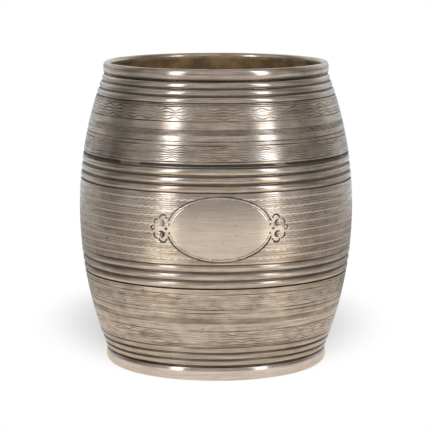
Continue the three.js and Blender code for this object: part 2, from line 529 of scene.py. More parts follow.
def lay_bake_map(mesh: Mesh) -> None:
    """Give a turned mesh a flat map: round the beaker across, along the outline upwards.

    Args:
        mesh: Mesh made by turned().
    """
    corners = np.empty(len(mesh.loops), np.int32)
    mesh.loops.foreach_get("vertex_index", corners)
    starts = np.empty(len(mesh.polygons), np.int32)
    mesh.polygons.foreach_get("loop_start", starts)
    counts = np.diff(np.append(starts, len(corners)))
    flat = np.empty((len(corners), 2), np.float32)
    flat[:, 0] = angles_of(mesh)[corners] / FULL_TURN + MAP_MIDDLE
    flat[:, 1] = point_values(mesh, "run")[corners]
    for axis in (0, 1):
        spread = np.maximum.reduceat(flat[:, axis], starts) - np.minimum.reduceat(flat[:, axis], starts)
        crossing = np.repeat(spread > MAP_MIDDLE, counts)
        flat[:, axis] += np.where(crossing & (flat[:, axis] < MAP_MIDDLE), 1.0, 0.0)
    layer = mesh.uv_layers.new(name=BAKE_MAP)
    layer.data.foreach_set("uv", (flat * BAKE_SPAN).ravel())


def add_object(data: bpy.types.ID) -> bpy.types.Object:
    """Make an object of a mesh, a lamp or a camera.

    Args:
        data: What the object shows, and what it is named after.

    Returns:
        The object, at the origin.
    """
    made = bpy.data.objects.new(data.name, data)
    bpy.context.scene.collection.objects.link(made)
    return made


def place_piece(mesh: Mesh, nodes: Sequence[str], finishes: Sequence[Material]) -> None:
    """Make a piece of the beaker from a finished mesh.

    Args:
        mesh: Mesh in its place, made by turned().
        nodes: Names of the CAD nodes that the piece stands for.
        finishes: Materials in the order of the mesh's material numbers.
    """
    lay_bake_map(mesh)
    # All but the first, the stain, which the finishes read
    for key in CARRIED[1:]:
        mesh.attributes.remove(mesh.attributes[key])
    mesh.shade_smooth()
    mesh.set_sharp_from_angle(angle=SHARP_EDGE)
    for finish in finishes:
        mesh.materials.append(finish)
    piece = add_object(mesh)
    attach(piece, BODY)
    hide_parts(*nodes)
    LOG.info("%s: %d faces", piece.name, len(mesh.polygons))


@dataclass(frozen=True)
class WallCurve:
    """The bow of the wall: an arc above the belly and one below it, both upright there."""

    belly_radius: float  # outside of the wall at its widest
    belly_height: float
    upper_arc: float  # radius of the arc from the belly to the lip
    lower_arc: float  # radius of the arc from the belly to the foot
    thickness: float = 0.8

    def point(self, along: np.ndarray, lift: np.ndarray) -> tuple[np.ndarray, np.ndarray]:
        """Find places on the wall.

        Args:
            along: Distances along the bow, counted up from the belly.
            lift: Distances out from the bow.

        Returns:
            Radii and heights.
        """
        arc = np.where(np.asarray(along) >= 0, self.upper_arc, self.lower_arc)
        angle = along / arc
        reach = arc + lift
        return (self.belly_radius - arc + reach * np.cos(angle),
                self.belly_height + reach * np.sin(angle))

    def along_at(self, height: float, lift: float = 0.0) -> float:
        """Find where a surface reaches a height.

        Args:
            height: The height.
            lift: Distance of the surface out from the bow.

        Returns:
            Distance along the bow.
        """
        rise = height - self.belly_height
        arc = self.upper_arc if rise >= 0 else self.lower_arc
        return arc * math.asin(rise / (arc + lift))

    def radius_at(self, height: float, lift: float = 0.0) -> float:
        """Give the radius of a surface at this lift at a height."""
        return float(self.point(self.along_at(height, lift), lift)[0])

    def spot(self, along: float, lift: float = 0.0, **more: float) -> Spot:
        """Make a point of an outline on the wall."""
        radius, height = self.point(along, lift)
        return Spot(float(radius), float(height), along=along, lift=lift, **more)

    def move(self, mesh: Mesh, along: np.ndarray, lift: np.ndarray) -> None:
        """Move a mesh's points to new places on the wall, each at its own angle.

        Args:
            mesh: Mesh made by turned() from points of the wall.
            along: New distance along the bow of each point.
            lift: New lift of each point.
        """
        angle = angles_of(mesh)
        radius, height = self.point(along, lift)
        points = np.stack([radius * np.sin(angle), -radius * np.cos(angle), height], axis=1) * MM
        mesh.vertices.foreach_set("co", points.astype(np.float32).ravel())


@dataclass(frozen=True)
class Cut:
    """One engraved line round the wall."""

    along: float  # distance along the bow of its middle
    cutter: Cutter
    swing: float = 0.0  # how far it waves up and down


@dataclass(frozen=True)
class Course:
    """Several engraved lines one above the other."""

    start: float  # distance of the first line from the edge that the pattern is counted from
    cutter: Cutter
    count: int = 1
    pitch: float = 0.5
    swing: float = 0.0  # of the first line; it turns steadily into the opposite one of the last

    def cuts(self, origin: float, way: int) -> list[Cut]:
        """List the lines of the course.

        Args:
            origin: Distance along the bow of the edge that the pattern is counted from.
            way: 1 if the pattern runs up from there, -1 if it runs down.

        Returns:
            The cuts, in order from that edge.
        """
        last = max(self.count - 1, 1)
        return [
            Cut(
                origin + way * (self.start + index * self.pitch),
                self.cutter,
                self.swing * (1 - 2 * index / last),
            )
            for index in range(self.count)
        ]


# Lines and waves of the upper and the lower field, counted from the hoops next to the belly
BAND_COURSES = (
    Course(1.28, Cutter.LINE),
    Course(2.02, Cutter.WAVE, count=6, pitch=0.50, swing=0.30),
    Course(5.25, Cutter.LINE, count=2, pitch=0.95),
    Course(5.58, Cutter.HAIR, count=2, pitch=0.28),
    Course(7.80, Cutter.REED, count=5, pitch=0.29),
    Course(11.10, Cutter.LINE),
    Course(11.87, Cutter.CHAIN, count=4, pitch=0.71, swing=0.30),
    Course(14.75, Cutter.LINE),
    Course(15.22, Cutter.LINE),
)
UPPER_COURSES = (Course(0.44, Cutter.GROOVE), *BAND_COURSES)
LOWER_COURSES = (
    *BAND_COURSES,
    Course(0.40, Cutter.HAIR),
    Course(6.65, Cutter.HAIR, count=2),
    Course(9.50, Cutter.HAIR, count=3),
)


@dataclass
class EngravedField:
    """A stretch of the wall between two groups of hoops, cut with lines and waves."""

    name: str
    wall: WallCurve
    low: float  # distance along the bow of the lower edge
    high: float  # distance along the bow of the upper edge
    cuts: Sequence[Cut]
    waves: int  # in a turn
    sectors: Sequence[Sector] = full_turn(FIELD_PATCHES)
    start: float = math.pi  # angle where the turn starts
    wave_turn: float = 0.0  # angle where a wave starts
    wear: float = 1.0  # share of the sulphide that handling has left
    eye_contrast: float = 0.35  # share of the waves' sulphide that is missing between two eyes
    skin: float = 0.22  # thickness of the piece
    land_step: float = 0.45  # longest step across plain wall
    shoulder: float = 0.08  # narrow step beside a cut that keeps plain wall flat
    wide_land: float = 0.32  # plain wall from this width on has shoulders

    def land(self, here: Spot, there: Spot) -> list[Spot]:
        """Fill the plain wall between two edges.

        Args:
            here: Upper edge of the cut below.
            there: Lower edge of the cut above.

        Returns:
            Points between the two, without them.
        """
        gap = there.along - here.along
        places = [here.along + gap / 2]
        if gap > self.wide_land:
            first = here.along + self.shoulder
            length = there.along - self.shoulder - first
            steps = math.ceil(length / self.land_step)
            places = [first + length * step / steps for step in range(steps + 1)]
        swings = there.swing - here.swing
        return [
            self.wall.spot(place, swing=here.swing + swings * (place - here.along) / gap)
            for place in places
        ]

    def outline(self) -> list[Spot]:
        """List the outline's points: up the engraved outside, then down the hidden inside.

        Returns:
            The points of a closed outline.
        """
        points = [self.wall.spot(self.low)]
        for cut in sorted(self.cuts, key=lambda each: each.along):
            half = cut.cutter.half_width
            edge = self.wall.spot(cut.along - half, swing=cut.swing)
            points += [*self.land(points[-1], edge), edge]
            points += [
                self.wall.spot(
                    cut.along + side * half, -cut.cutter.depth,
                    swing=cut.swing, stain=cut.cutter.stain * self.wear,
                )
                for side in cut.cutter.floor_sides
            ]
            points.append(self.wall.spot(cut.along + half, swing=cut.swing))
        top = self.wall.spot(self.high, hidden=True)
        points += [*self.land(points[-1], top), top]
        points += [
            self.wall.spot(along, -self.skin, hidden=True) for along in (self.high, self.low)
        ]
        return points

    def carve(self, mesh: Mesh) -> None:
        """Let the lines wave, darkest in the eyes between them.

        Args:
            mesh: The turned mesh.
        """
        wave = np.sin(self.waves * (angles_of(mesh) - self.wave_turn))
        swing = point_values(mesh, "swing")
        stain = point_values(mesh, "stain")
        waved = swing != 0
        stain[waved] *= (1 - self.eye_contrast * (1 + wave) / 2)[waved]
        set_point_values(mesh, "stain", stain)
        self.wall.move(mesh, point_values(mesh, "along") + swing * wave, point_values(mesh, "lift"))

    def build(self, finish: Material) -> None:
        """Model and dress the field.

        Args:
            finish: Material of the engraved wall.
        """
        mesh = turned(self.name, self.outline(), self.sectors, self.start)
        self.carve(mesh)
        place_piece(mesh, ["barrel_wall"], [finish])


def cosine_cut(distance: np.ndarray, half_width: Union[float, np.ndarray]) -> np.ndarray:
    """Give the depth of a round-bottomed cut: 1 in the middle, 0 from its edges outwards."""
    return (1 + np.cos(math.pi * np.clip(np.abs(distance) / half_width, 0, 1))) / 2


@dataclass(frozen=True)
class Stroke:
    """One stroke of the graver, an arc seen from the front."""

    across: float  # middle of the arc, outwards
    up: float  # middle of the arc, upwards
    radius: float
    start: float  # angle of its beginning in degrees, 0 outwards and 90 upwards
    sweep: float  # angle that it turns through
    half_width: float = 0.19  # at its fullest place
    depth: float = 0.07  # at its fullest place
    thin_end: float = 0.55  # width of its ends as a share of the fullest

    def share(self, across: np.ndarray, up: np.ndarray) -> np.ndarray:
        """Give how deep the stroke cuts at each place.

        Args:
            across: Places counted from the oval's middle outwards.
            up: Places counted from the oval's middle upwards.

        Returns:
            Share of the full depth.
        """
        off_across = across - self.across
        off_up = up - self.up
        turn = np.degrees(np.arctan2(off_up, off_across))
        middle = self.start + self.sweep / 2
        away = np.abs((turn - middle + 180) % 360 - 180)
        half_sweep = abs(self.sweep) / 2
        beyond = np.radians(np.clip(away - half_sweep, 0, None)) * self.radius
        off_arc = np.hypot(off_across, off_up) - self.radius
        fullness = np.cos(QUARTER_TURN * np.clip(away / half_sweep, 0, 1))
        swell = self.thin_end + (1 - self.thin_end) * fullness
        return cosine_cut(np.hypot(off_arc, beyond), self.half_width * swell)


# Strokes of a scroll: across, up, radius, start and sweep, counted from the upper scroll's middle
SCROLL_STROKES = (
    Stroke(0.0, 0.0, 0.68, 95, 205, half_width=0.38, depth=0.12, thin_end=0.4),
    Stroke(0.12, 0.0, 0.22, 60, 200, half_width=0.15, depth=0.06),
    Stroke(-0.55, 1.1, 0.88, 0, 180, half_width=0.24, depth=0.09),
    Stroke(0.70, 0.1, 0.95, -30, 115, half_width=0.24, depth=0.09),
    Stroke(-1.65, -0.4, 0.45, 120, 90),
)
# Strokes between the two scrolls, counted across from their middle and up from the oval's
KNOT_STROKES = (
    Stroke(1.95, 0.2, 0.45, -150, 310, half_width=0.23, depth=0.09),
    Stroke(-1.30, 0.0, 0.05, 0, 359, half_width=0.38, depth=0.07, thin_end=1.0),
)


@dataclass(frozen=True)
class Cartouche:
    """The plain oval on the front, its cut border and the scrolls at its two ends.

    A stain is the darkness of a cut, as in Cutter, and a gain is how soon a cut has all of it.
    """

    middle_height: float
    half_width: float  # seen from the front
    half_height: float
    border_place: float = 0.2  # middle of the border's bold line, from the oval's edge inwards
    border_half_width: float = 0.26
    border_depth: float = 0.11
    border_stain: float = 1.35
    border_gain: float = 1.6
    inner_place: float = 0.84  # middle of the fine line inside it
    inner_half_width: float = 0.17
    inner_depth: float = 0.04
    inner_stain: float = 0.85
    end_gap: float = 1.7  # the border stops this far from the oval's two ends
    end_fade: float = 0.4  # width over which it stops
    scroll_out: float = 1.3  # from the oval's end to the middle of the scrolls
    scroll_up: float = 1.4  # middle of the upper scroll over the oval's middle
    scroll_ground: float = 1.9  # radius of the plain ground round a scroll
    scroll_stain: float = 2.1
    scroll_gain: float = 1.7
    fade: float = 0.25  # width over which the lines of the field die out at the oval
    rubbing: float = 0.40  # how far the stain falls below 0 inside the oval, for rubbed film
    tiny: float = 1e-9  # keeps the middle of the oval from a division by nothing

    @property
    def scroll_across(self) -> float:
        """Middle of the scrolls, from the oval's middle outwards."""
        return self.half_width + self.scroll_out

    def edge_distance(self, across: np.ndarray, up: np.ndarray) -> np.ndarray:
        """Measure how far places lie from the oval's edge.

        Args:
            across: Places counted from the oval's middle to the right.
            up: Places counted from the oval's middle upwards.

        Returns:
            The distances, outside positive.
        """
        share = np.hypot(across / self.half_width, up / self.half_height) + self.tiny
        slope = np.hypot(across / self.half_width ** 2, up / self.half_height ** 2) + self.tiny
        return share * (share - 1) / slope

    def strokes(self) -> list[Stroke]:
        """List the strokes at one end of the oval, where the lower scroll mirrors the upper one.

        Returns:
            The strokes, counted from the oval's middle.
        """
        made = [replace(each, across=self.scroll_across + each.across) for each in KNOT_STROKES]
        for side in (1, -1):
            made += [
                replace(
                    each, across=self.scroll_across + each.across,
                    up=side * (self.scroll_up + each.up),
                    start=side * each.start, sweep=side * each.sweep,
                )
                for each in SCROLL_STROKES
            ]
        return made

    def carve(self, across: np.ndarray, up: np.ndarray) -> tuple[np.ndarray, ...]:
        """Work out the cartouche at each place of the field.

        Args:
            across: Places seen from the front, counted from the oval's middle to the right.
            up: Places counted from the oval's middle upwards.

        Returns:
            How much of the field's lines is left, the depth of the cartouche's own cuts, the
            sulphide in them, and how far the stain falls where the film is rubbed.
        """
        outwards = np.abs(across)
        edge = self.edge_distance(across, up)
        ground_up = np.clip(np.abs(up) - self.scroll_up, 0, None)
        ground = np.hypot(outwards - self.scroll_across, ground_up) - self.scroll_ground
        left = ramp(np.minimum(edge, ground), -self.fade / 2, self.fade / 2)
        from_end = np.hypot(outwards - self.half_width, up)
        clear = ramp(from_end, self.end_gap, self.end_gap + self.end_fade)
        bold = cosine_cut(edge + self.border_place, self.border_half_width) * clear
        fine = cosine_cut(edge + self.inner_place, self.inner_half_width) * clear
        depth = np.maximum(bold * self.border_depth, fine * self.inner_depth)
        bold_stain = self.border_stain * np.clip(self.border_gain * bold, 0, 1)
        stain = np.maximum(bold_stain, self.inner_stain * fine)
        for stroke in self.strokes():
            share = stroke.share(outwards, up)
            depth = np.maximum(depth, share * stroke.depth)
            scroll_stain = self.scroll_stain * np.clip(self.scroll_gain * share, 0, 1)
            stain = np.maximum(stain, scroll_stain)
        return left, depth, stain, self.rubbing * ramp(edge, 0, -self.fade)


@dataclass
class CentreField(EngravedField):
    """The middle of the wall: close rippled lines round the oval cartouche."""

    cartouche: Optional[Cartouche] = None

    def carve(self, mesh: Mesh) -> None:
        """Let the lines ripple, and cut the cartouche into the front.

        Args:
            mesh: The turned mesh.
        """
        angle = angles_of(mesh)
        along = point_values(mesh, "along")
        along += point_values(mesh, "swing") * np.sin(self.waves * (angle - self.wave_turn))
        lift = point_values(mesh, "lift")
        stain = point_values(mesh, "stain")
        radius, height = self.wall.point(along, 0.0)
        front = (lift > -self.skin) & (np.cos(angle) > 0)
        left, depth, dark, rubbed = self.cartouche.carve(
            (radius * np.sin(angle))[front], (height - self.cartouche.middle_height)[front],
        )
        lift[front] = np.minimum(lift[front] * left, -depth)
        stain[front] = (stain[front] * left - rubbed) * (1 - np.minimum(dark, 1)) + dark
        set_point_values(mesh, "stain", stain)
        self.wall.move(mesh, along, lift)


@dataclass
class HoopGroup:
    """Half-round wires soldered side by side round the wall."""

    name: str  # first word of the wires' names
    wall: WallCurve
    low: float  # distance along the bow of the group's lower edge
    hoop_width: float
    ground: float = 0.0  # sulphide and painted shade all over the wires
    count: int = 3
    rise: float = 0.05  # how far a crest stands out from the wall
    seat: float = 0.32  # depth of a wire's flat side under the wall
    section_steps: int = 18
    round_patches: int = 12
    clean_share: float = 0.56  # part of the half width that is free of the edges' sulphide and painted shade
    dark_share: float = 0.736  # part of the half width from which it is darkest
    stain: float = 0.77  # sulphide and painted shade at the wire's two edges

    @property
    def length(self) -> float:
        """Length of the group along the bow."""
        return self.count * self.hoop_width + (self.count - 1) * SOLDER_GAP

    @property
    def high(self) -> float:
        """Distance along the bow of the group's upper edge."""
        return self.low + self.length

    def outline(self, centre: float) -> list[Spot]:
        """List the section of one wire.

        Args:
            centre: Distance along the bow of the wire's crest.

        Returns:
            The points of a closed outline, up the round side.
        """
        half = self.hoop_width / 2
        sagitta = self.rise + self.seat
        bulge = (half ** 2 + sagitta ** 2) / (2 * sagitta)
        points = []
        for step in range(self.section_steps + 1):
            across = math.cos(math.pi * step / self.section_steps)
            # The wire darkens towards its edges, where it meets its neighbours: sulphide and painted
            # shade
            edge_sulphide_and_shade = self.stain * ramp(abs(across), self.clean_share, self.dark_share)
            points.append(self.wall.spot(
                centre - across * half,
                self.rise - bulge + math.sqrt(bulge ** 2 - (across * half) ** 2),
                stain=max(self.ground, edge_sulphide_and_shade),
                hidden=step == self.section_steps,
            ))
        return points

    def build(self, finish: Material) -> None:
        """Model and dress the wires.

        Args:
            finish: Material of the wires.
        """
        for index in range(self.count):
            name = f"{self.name}_hoop_{index + 1}"
            centre = self.low + self.hoop_width / 2 + index * (self.hoop_width + SOLDER_GAP)
            mesh = turned(f"{name}_wire", self.outline(centre), full_turn(self.round_patches))
            place_piece(mesh, [name], [finish])


def elliptic_spots(
    centre: Span, reach: float, rise: float, turns: Span, steps: int, stain: float = 0.0,
    painted_shade_span: Span = (0.0, 1.0),
) -> list[Spot]:
    """Give points on a stretch of an ellipse.

    Args:
        centre: Radius and height of the middle.
        reach: Half width.
        rise: Half height.
        turns: First and last angle, 0 outwards and a quarter turn upwards.
        steps: Number of steps.
        stain: Painted shade where the stretch is darkest.
        painted_shade_span: Shares of the stretch where painted shade starts, and is darkest.

    Returns:
        The points, in order.
    """
    first, last = turns
    points = []
    for step in range(steps + 1):
        turn = first + (last - first) * step / steps
        points.append(Spot(
            centre[0] + reach * math.cos(turn), centre[1] + rise * math.sin(turn),
            stain * ramp(step / steps, *painted_shade_span),
        ))
    return points


def gild_inside(mesh: Mesh, top: float) -> None:
    """Give the second material to the faces that look at the axis below a height.

    Args:
        mesh: A turned mesh.
        top: Height where the gilding ends.
    """
    centres = vectors(mesh.polygons, "center")
    normals = vectors(mesh.polygons, "normal")
    outwards = np.sum(centres[:, :2] * normals[:, :2], axis=1)
    inside = (outwards < 0) & (centres[:, 2] < top * MM)
    mesh.polygons.foreach_set("material_index", inside.astype(np.int32))


@dataclass
class Lip:
    """The rounded wire round the mouth."""

    wall: WallCurve
    bottom: float  # height of its lower edge
    top: float  # height of its crown
    rebate: float = 1.0  # how far it laps down over the wall
    projection: float = 0.25  # its widest place beyond the wall
    bare_crown: float = 0.8  # how far the gilding stays below the crown
    stain: float = 0.8  # painted shade on its under-side, darkest at its lower edge
    painted_shade_span: Span = (2 / 3, 1 / 3)  # parts of the under-side where the painted shade starts, and where it is darkest
    steps: int = 8  # on a quarter of its section
    round_patches: int = 12

    def outline(self) -> list[Spot]:
        """List the section: up the outside, over the crown, and down to the rebate.

        Returns:
            The points of a closed outline.
        """
        seat_height = self.bottom + self.rebate + SOLDER_GAP
        mouth = self.wall.radius_at(self.bottom + self.rebate, -self.wall.thickness)
        lower_edge = self.wall.radius_at(self.bottom, SOLDER_GAP)
        widest = self.wall.radius_at(self.bottom) + self.projection
        half_height = (self.top - self.bottom) / 2
        middle = self.bottom + half_height
        # The under-side darkens towards its lower edge: painted shade
        under = elliptic_spots(
            (lower_edge, middle), widest - lower_edge, half_height, (-QUARTER_TURN, 0),
            self.steps, self.stain, self.painted_shade_span,
        )
        over = elliptic_spots(
            ((mouth + widest) / 2, middle), (widest - mouth) / 2, half_height, (0, math.pi),
            2 * self.steps,
        )
        return [
            *under,
            *over[1:],
            Spot(mouth, seat_height, hidden=True),
            Spot(self.wall.radius_at(seat_height, SOLDER_GAP), seat_height, hidden=True),
        ]

    def build(self, silver: Material, gilt: Material) -> None:
        """Model the lip, silver outside and gilt on the side of the mouth.

        Args:
            silver: Material of the outside.
            gilt: Material of the inside.
        """
        mesh = turned("lip_wire_round", self.outline(), full_turn(self.round_patches))
        gild_inside(mesh, self.top - self.bare_crown)
        place_piece(mesh, ["lip_wire"], [silver, gilt])


@dataclass
class WallLining:
    """The inner half of the wall, gilt where it faces the drink."""

    wall: WallCurve
    bottom: float  # height of its lower edge
    top: float  # height of its upper edge
    depth: float = 0.34  # its outside under the bow, behind the engraved fields and the hoops
    steps: int = 36  # along the bow
    round_patches: int = 10

    def side(self, lift: float, hidden: bool) -> list[Spot]:
        """List the points of one side of the lining, upwards.

        Args:
            lift: Lift of that side.
            hidden: True if the side never shows.

        Returns:
            The points, in order.
        """
        low = self.wall.along_at(self.bottom, lift)
        length = self.wall.along_at(self.top, lift) - low
        shares = [step / self.steps for step in range(self.steps + 1)]
        return [self.wall.spot(low + length * share, lift, hidden=hidden) for share in shares]

    def build(self, silver: Material, gilt: Material) -> None:
        """Model the lining, gilt inside.

        Args:
            silver: Material of the hidden outside.
            gilt: Material of the inside.
        """
        outside = self.side(-self.depth, True)
        inside = self.side(-self.wall.thickness, False)
        outline = [*outside, *reversed(inside)]
        mesh = turned("wall_lining", outline, full_turn(self.round_patches))
        gild_inside(mesh, self.top)
        place_piece(mesh, ["barrel_wall"], [silver, gilt])


@dataclass
class FootRing:
    """The moulded ring that the beaker stands on."""

    wall: WallCurve
    height: float
    projection: float = 0.35  # its widest place beyond the wall
    ledge: float = 0.05  # the flat left round the wall on top
    widest_height: float = 1.9
    under_round: float = 2.65  # how far its round under-edge draws in
    shelf: float = 2.6  # inside the wall, under the base plate
    shoulder_painted_shade: float = 0.56  # painted shade at the shoulder's inner end
    painted_shade_span: Span = (0.3, 1.0)  # parts of the shoulder where the painted shade starts, and where it is darkest
    ledge_stain: float = 0.5
    corner_stain: float = 0.6  # sulphide where the wall stands on the ring
    steps: int = 10  # on a quarter of its section
    round_patches: int = 12

    def outline(self) -> list[Spot]:
        """List the section: the resting face, the round edge, the shoulder and the bore.

        Returns:
            The points of a closed outline.
        """
        wall_foot = self.wall.radius_at(self.height)
        widest = wall_foot + self.projection
        shoulder = wall_foot + self.ledge
        bore = self.wall.radius_at(self.height, -self.wall.thickness) - self.shelf
        under = elliptic_spots(
            (widest - self.under_round, self.widest_height), self.under_round,
            self.widest_height, (-QUARTER_TURN, 0), self.steps,
        )
        # The shoulder darkens towards the wall: painted shade
        over = elliptic_spots(
            (shoulder, self.widest_height), widest - shoulder,
            self.height - self.widest_height, (0, QUARTER_TURN), self.steps,
            self.shoulder_painted_shade, self.painted_shade_span,
        )
        return [
            Spot(bore, 0.0),
            Spot((bore + under[0].radius) / 2, 0.0),
            *under,
            *over[1:],
            Spot((shoulder + wall_foot) / 2, self.height, stain=self.ledge_stain),
            Spot(wall_foot, self.height, stain=self.corner_stain),
            Spot(bore, self.height),
        ]

    def build(self, finish: Material) -> None:
        """Model the ring, all in one finish."""
        mesh = turned("foot_ring_moulding", self.outline(), full_turn(self.round_patches))
        place_piece(mesh, ["foot_ring"], [finish])


@dataclass
class BasePlate:
    """The disc that closes the beaker, gilt above, with turned rings on both faces."""

    wall: WallCurve
    underside: float  # height of its lower face
    top: float  # height of its upper face
    ring_pitch: float = 1.6
    ring_depth: float = 0.03
    ring_half_width: float = 0.10
    ring_stain: float = 0.5
    centre_stain: float = 0.6  # sulphide in the mark of the lathe's centre
    round_patches: int = 6

    def face(self, height: float, way: int) -> list[Spot]:
        """List the points of one face, from the axis outwards.

        Args:
            height: Height of the face.
            way: 1 if the rings sink upwards into it, -1 if downwards.

        Returns:
            The points, in order.
        """
        edge = self.wall.radius_at(height, -self.wall.thickness - SOLDER_GAP)
        floor = height + way * self.ring_depth
        points = [Spot(0.0, floor, stain=self.centre_stain)]
        for ring in range(int(edge / self.ring_pitch)):
            middle = ring * self.ring_pitch + self.ring_pitch / 2
            points += [
                Spot(middle - self.ring_half_width, height),
                Spot(middle, floor, stain=self.ring_stain),
                Spot(middle + self.ring_half_width, height),
            ]
        return [*points, Spot(edge, height)]

    def build(self, silver: Material, gilt: Material) -> None:
        """Model the disc, gilt above and silver below.

        Args:
            silver: Material of the underside.
            gilt: Material of the upper side.
        """
        outline = [*self.face(self.underside, 1), *reversed(self.face(self.top, -1))]
        mesh = turned("base_disc", outline, full_turn(self.round_patches), ring=False)
        heights = vectors(mesh.polygons, "center")[:, 2]
        gilded = heights > (self.underside + self.top) / 2 * MM
        mesh.polygons.foreach_set("material_index", gilded.astype(np.int32))
        place_piece(mesh, ["base_plate"], [silver, gilt])


@dataclass
class Beaker:
    """The whole beaker, with the driving sizes that the frame doesn't give."""

    belly_height: float = 40.3  # height of the widest place
    neck_taper: float = 6.5  # how much the wall draws in between the belly and the lip
    foot_taper: float = 6.98  # how much it draws in between the belly and the foot
    lip_rebate: float = 1.0  # how far the lip laps down over the wall
    hoop_land: float = 0.1  # strip between an end group of hoops and the lip or the foot
    end_hoop_width: float = 1.85  # at the neck and above the foot
    middle_hoop_width: float = 2.05  # above and below the belly
    upper_hoops_rise: float = 7.7  # belly to the upper group, along the wall
    lower_hoops_drop: float = 9.8  # belly to the lower group, along the wall
    base_sulphide_and_shade: float = 0.14  # sulphide and painted shade all over the hoops above the foot
    lower_sulphide_and_shade: float = 0.04  # sulphide and painted shade all over the hoops below the belly
    oval_half_width: float = 13.0  # seen from the front
    oval_margin: float = 0.45  # from the oval to the hoops above and below it
    waves: int = 41  # in a turn, on the wave bands
    wave_turn: float = 4.0  # where one of them starts on the upper bands, in degrees
    lower_wave_turn: float = -0.4  # the same on the lower bands
    lower_wear: float = 0.8  # share of the sulphide left in the cuts of the lower bands
    ripples: int = 120  # in a turn, on the middle of the wall
    ripple_pitch: float = 2.05  # between the bold rippled lines there
    ripple_swing: float = 0.09
    line_swing: float = 0.04  # of the fine lines between them
    lines_to_ripple: int = 4  # lines to each bold one, with it
    front_half: float = 36.0  # half the angle of the finely stepped front, in degrees
    front_patches: int = 12
    rear_patches: int = 16

    def __post_init__(self) -> None:
        """Read the frame and work out the bow of the wall and the hoop groups."""
        self.belly_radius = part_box("barrel_wall")[1].x / MM
        self.wall_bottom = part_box("barrel_wall")[0].z / MM
        self.wall_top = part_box("barrel_wall")[1].z / MM
        self.lip_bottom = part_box("lip_wire")[0].z / MM
        self.lip_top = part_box("lip_wire")[1].z / MM
        self.foot_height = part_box("foot_ring")[1].z / MM
        self.wall = WallCurve(
            self.belly_radius,
            self.belly_height,
            self.arc_radius(self.lip_bottom - self.belly_height, self.neck_taper),
            self.arc_radius(self.belly_height - self.foot_height, self.foot_taper),
        )
        margin = self.hoop_land + SOLDER_GAP
        base_low = self.wall.along_at(self.wall_bottom) + margin
        self.base_hoops = HoopGroup(
            "base", self.wall, base_low, self.end_hoop_width, self.base_sulphide_and_shade)
        self.upper_hoops = HoopGroup(
            "upper", self.wall, self.upper_hoops_rise, self.middle_hoop_width)
        lower_low = -self.lower_hoops_drop - self.upper_hoops.length
        self.lower_hoops = HoopGroup(
            "lower", self.wall, lower_low, self.middle_hoop_width, self.lower_sulphide_and_shade)
        neck_low = self.wall.along_at(self.lip_bottom) - margin - self.base_hoops.length
        self.neck_hoops = HoopGroup("neck", self.wall, neck_low, self.end_hoop_width)

    @staticmethod
    def arc_radius(rise: float, taper: float) -> float:
        """Give the radius of an arc that starts upright and draws in by taper over its rise."""
        return (rise ** 2 + taper ** 2) / (2 * taper)

    def build_band(self, name: str, below: HoopGroup, above: HoopGroup, finish: Material) -> None:
        """Build the upper or the lower engraved field.

        Args:
            name: Name of the piece.
            below: The hoops under it.
            above: The hoops over it.
            finish: Material of the wall.
        """
        low = below.high + SOLDER_GAP
        high = above.low - SOLDER_GAP
        upper = below is self.upper_hoops
        courses = UPPER_COURSES if upper else LOWER_COURSES
        origin, way = (low, 1) if upper else (high, -1)
        EngravedField(
            name, self.wall, low, high,
            [cut for course in courses for cut in course.cuts(origin, way)], self.waves,
            wave_turn=math.radians(self.wave_turn if upper else self.lower_wave_turn),
            wear=1.0 if upper else self.lower_wear,
        ).build(finish)

    def middle_cuts(self, low: float, high: float) -> list[Cut]:
        """List the rippled lines of the middle of the wall.

        Args:
            low: Distance along the bow of the field's lower edge.
            high: Distance along the bow of its upper edge.

        Returns:
            The cuts: bold ripples, with fine lines between them.
        """
        pitch = self.ripple_pitch / self.lines_to_ripple
        first = math.ceil((low + pitch / 2) / pitch)
        last = math.floor((high - pitch / 2) / pitch)
        cuts = []
        for index in range(first, last + 1):
            if index % self.lines_to_ripple == 0:
                cuts.append(Cut(index * pitch, Cutter.RIPPLE, self.ripple_swing))
            else:
                cuts.append(Cut(index * pitch, Cutter.FINE, self.line_swing))
        return cuts

    def build_middle(self, finish: Material) -> None:
        """Build the rippled middle of the wall with its cartouche.

        Args:
            finish: Material of the wall.
        """
        low = self.lower_hoops.high + SOLDER_GAP
        high = self.upper_hoops.low - SOLDER_GAP
        low_height, high_height = (self.wall.spot(along).height for along in (low, high))
        cartouche = Cartouche(
            (low_height + high_height) / 2,
            self.oval_half_width,
            (high_height - low_height) / 2 - self.oval_margin,
        )
        front = math.radians(self.front_half)
        sectors = (
            Sector(2 * front, self.front_patches, PATCH_STEPS),
            Sector(FULL_TURN - 2 * front, self.rear_patches, PATCH_STEPS),
        )
        CentreField(
            "centre_field", self.wall, low, high, self.middle_cuts(low, high), self.ripples,
            sectors, -front, cartouche=cartouche,
        ).build(finish)

    def build(self) -> None:
        """Build and dress every piece, from the wall outwards."""
        wall_silver = AgedSilver(
            "engine_turned_silver", sulphide="#4d4946", gloss=0.16, mottling=0.22, pit_stain=0.7,
        ).material()
        rubbed_wire = AgedSilver(
            "rubbed_silver_wire", sulphide="#414144", gloss=0.13, film_haze=0.10,
            patch_share=(0.95, 1.1),
        )
        wire_silver = rubbed_wire.material()
        shaded_silver = replace(
            rubbed_wire, name="shaded_silver_wire", sulphide="#4b4038").material()
        foot_silver = AgedSilver(
            "bright_silver_foot", rubbed="#efe1d6", filmed="#d4c3b6").material()
        gilt = WornGilding("worn_gilding").material()
